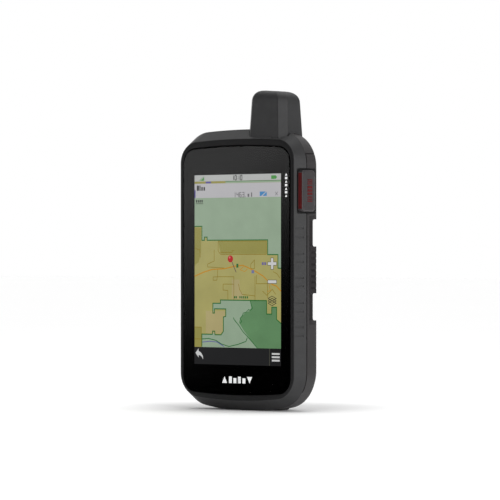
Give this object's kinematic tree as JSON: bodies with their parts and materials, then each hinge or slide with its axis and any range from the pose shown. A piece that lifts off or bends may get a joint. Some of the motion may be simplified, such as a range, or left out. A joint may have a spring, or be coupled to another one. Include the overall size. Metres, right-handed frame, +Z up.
{
  "type": "handheld gps unit",
  "caption": "Rugged handheld satellite navigator: tall touch screen, stub antenna, capped emergency key, side power key, weather cap and lift-off battery pack.",
  "frame": {"origin": "middle of the flat base under the seam, on the surface the unit stands on", "axes": "+X to the viewer's right, front glass faces -Y, +Z up towards the antenna"},
  "size_m": [0.0938, 0.033, 0.182],
  "materials": {
    "housing": "fine-textured dark grey polycarbonate",
    "cap": "smooth dark grey plastic",
    "glass": "strengthened cover glass",
    "mask": "black printed border",
    "foam": "black adhesive foam",
    "sensor": "clear laminated sensor",
    "picture": "lit map picture",
    "diffuser": "white",
    "alloy": "stamped",
    "flex": "amber film",
    "seal": "rust red silicone",
    "circuit": "green solder mask",
    "chip": "black moulded package",
    "tin": "tinned",
    "steel": "stainless",
    "black_steel": "blackened",
    "former": "ceramic-filled former with copper strips",
    "cable": "black",
    "red_mark": "dark red",
    "flap": "soft black",
    "gold": "gold plated",
    "cell": "film-wrapped",
    "label": "blank label"
  },
  "bodies": {
    "unit": {"front_housing": "housing", "rear_housing": "housing", "antenna_cover": "housing", "sos_pod": "housing", "contact_block": "cap", "lens_glass": "glass", "lens_mask": "mask", "lens_gasket": "foam", "touch_sensor": "sensor", "lcd_panel": "picture", "backlight_unit": "diffuser", "vent_membrane": "diffuser", "display_frame": "alloy", "display_flex": "flex", "housing_seal": "seal", "antenna_seal": "seal", "main_board": "circuit", "antenna_board": "circuit", "processor_chips": "chip", "memory_card": "chip", "shield_cans": "tin", "card_holder": "tin", "usb_port": "tin", "sos_switch": "tin", "power_switch": "tin", "vibration_motor": "tin", "board_screws": "steel", "sos_hinge_pin": "steel", "housing_screws": "black_steel", "gnss_helix": "former", "satcom_helix": "former", "antenna_coax": "cable", "speaker": "cable", "contact_pins": "gold", "dock_contacts": "gold"},
    "sos_lid": {"sos_cap": "cap", "sos_cap_marks": "red_mark"},
    "sos_key": {"sos_button": "red_mark"},
    "power_key": {"power_button": "cap"},
    "usb_flap": {"usb_cap": "flap"},
    "pack": {"battery_cover": "housing", "battery_lid": "housing", "battery_seal": "seal", "battery_cells": "cell", "battery_board": "circuit", "battery_pads": "gold", "rating_label": "label"},
    "latch": {"latch_barrel": "steel", "latch_o_ring": "flap"},
    "pull_ring": {"d_ring": "steel"}
  },
  "joints": [
    {"name": "sos_lid_hinge", "type": "hinge", "parent": "unit", "child": "sos_lid", "pos_m": [0.0452, -0.0022, 0.12435], "axis": [0, 0, 1], "range_deg": [0, 100]},
    {"name": "sos_key_press", "type": "slide", "parent": "unit", "child": "sos_key", "axis": [-1, 0, 0], "range_m": [0, 0.0008], "stiffness_N_per_m": 500, "springref_m": -0.001},
    {"name": "power_key_press", "type": "slide", "parent": "unit", "child": "power_key", "axis": [1, 0, 0], "range_m": [0, 0.0008], "stiffness_N_per_m": 500, "springref_m": -0.001},
    {"name": "usb_flap_hinge", "type": "hinge", "parent": "unit", "child": "usb_flap", "pos_m": [-0.0442, -0.0053, 0.0212], "axis": [0, -1, 0], "range_deg": [0, 85]},
    {"name": "pack_lift", "type": "slide", "parent": "unit", "child": "pack", "axis": [0, 1, 0], "range_m": [0, 0.03]},
    {"name": "latch_turn", "type": "hinge", "parent": "pack", "child": "latch", "pos_m": [0, 0.0154, 0.03], "axis": [0, 1, 0], "range_deg": [0, 90]},
    {"name": "pull_ring_fold", "type": "hinge", "parent": "latch", "child": "pull_ring", "pos_m": [0, 0.0154, 0.03], "axis": [1, 0, 0], "range_deg": [0, 90]}
  ]
}
